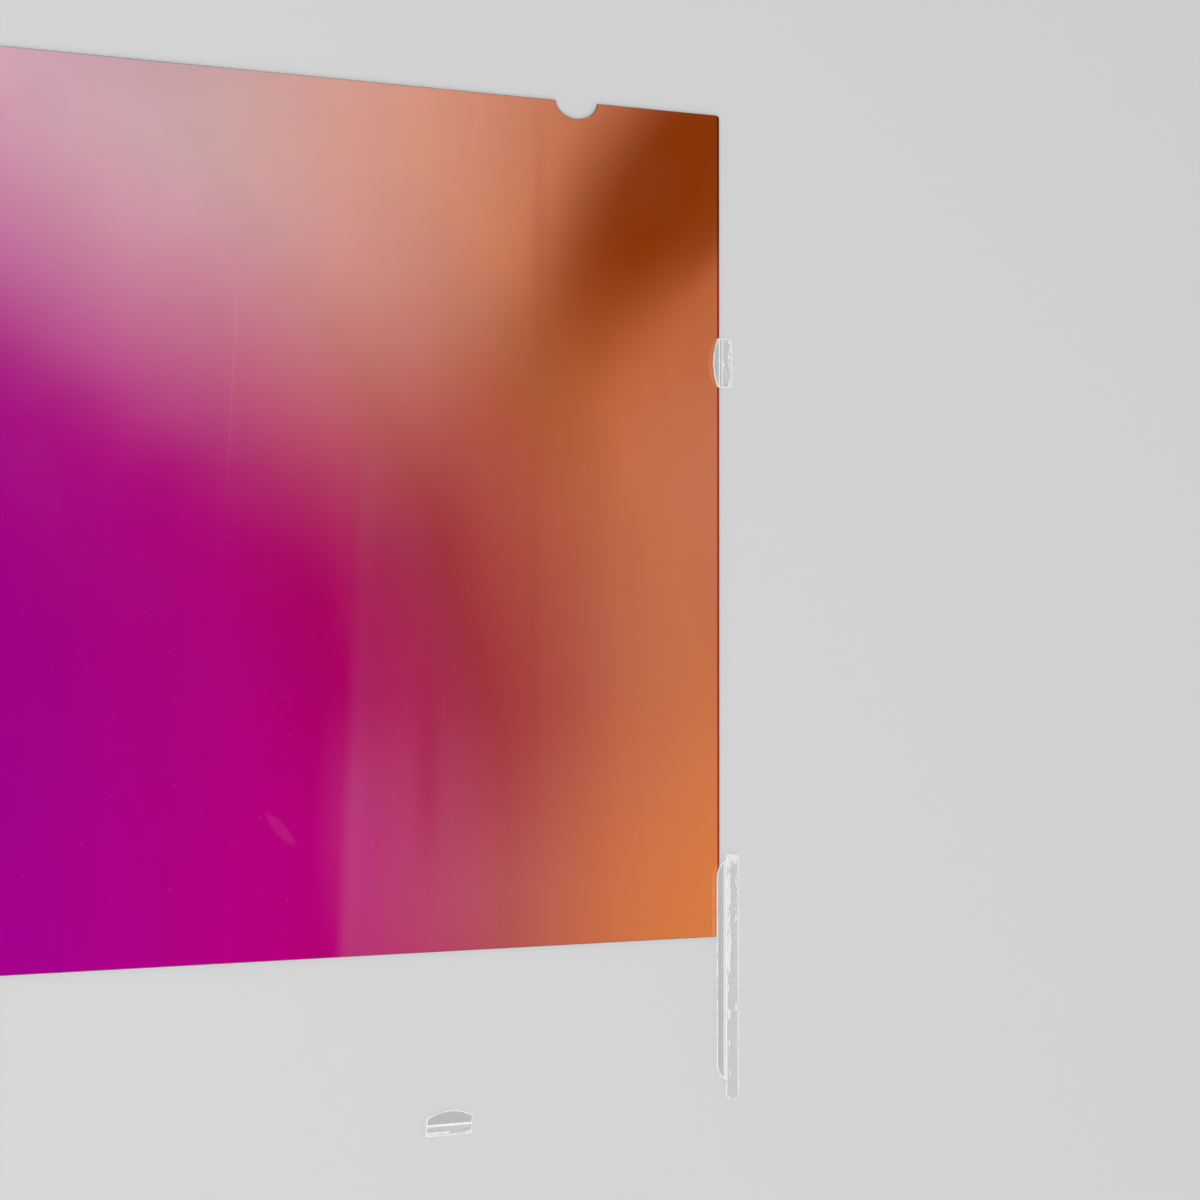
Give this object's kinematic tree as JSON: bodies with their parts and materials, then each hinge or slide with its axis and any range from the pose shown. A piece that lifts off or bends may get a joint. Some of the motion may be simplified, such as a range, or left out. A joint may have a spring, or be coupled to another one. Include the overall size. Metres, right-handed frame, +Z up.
{
  "type": "monitor privacy filter",
  "caption": "Thin flat privacy filter sheet with a gold front and a finger notch in its top edge, sliding under clear stick-on tabs along its sides and bottom.",
  "frame": {"origin": "centre of the screen area that the seated sheet covers, on the plane of the sheet's back", "axes": "+X to the right along the sheet's width, +Y towards its notched top edge, +Z out of its gold front; the part lies on its back, so +Z is up"},
  "size_m": [0.6154, 0.4074, 0.0024],
  "materials": {
    "gold_film": "gloss film",
    "clear_plastic": "clear gloss",
    "clear_adhesive": "clear, with trapped air"
  },
  "bodies": {
    "tabs": {"upper_tab_left": "clear_plastic", "upper_tab_right": "clear_plastic", "bottom_tab_left": "clear_plastic", "bottom_tab_right": "clear_plastic", "side_guide_left": "clear_plastic", "side_guide_right": "clear_plastic", "upper_tab_adhesive_left": "clear_adhesive", "upper_tab_adhesive_right": "clear_adhesive", "bottom_tab_adhesive_left": "clear_adhesive", "bottom_tab_adhesive_right": "clear_adhesive", "side_guide_adhesive_left": "clear_adhesive", "side_guide_adhesive_right": "clear_adhesive"},
    "filter": {"filter_sheet": "gold_film"}
  },
  "joints": [
    {"name": "filter_slide", "type": "slide", "parent": "tabs", "child": "filter", "axis": [0, 1, 0], "range_m": [-0.0655, 0.25]}
  ]
}
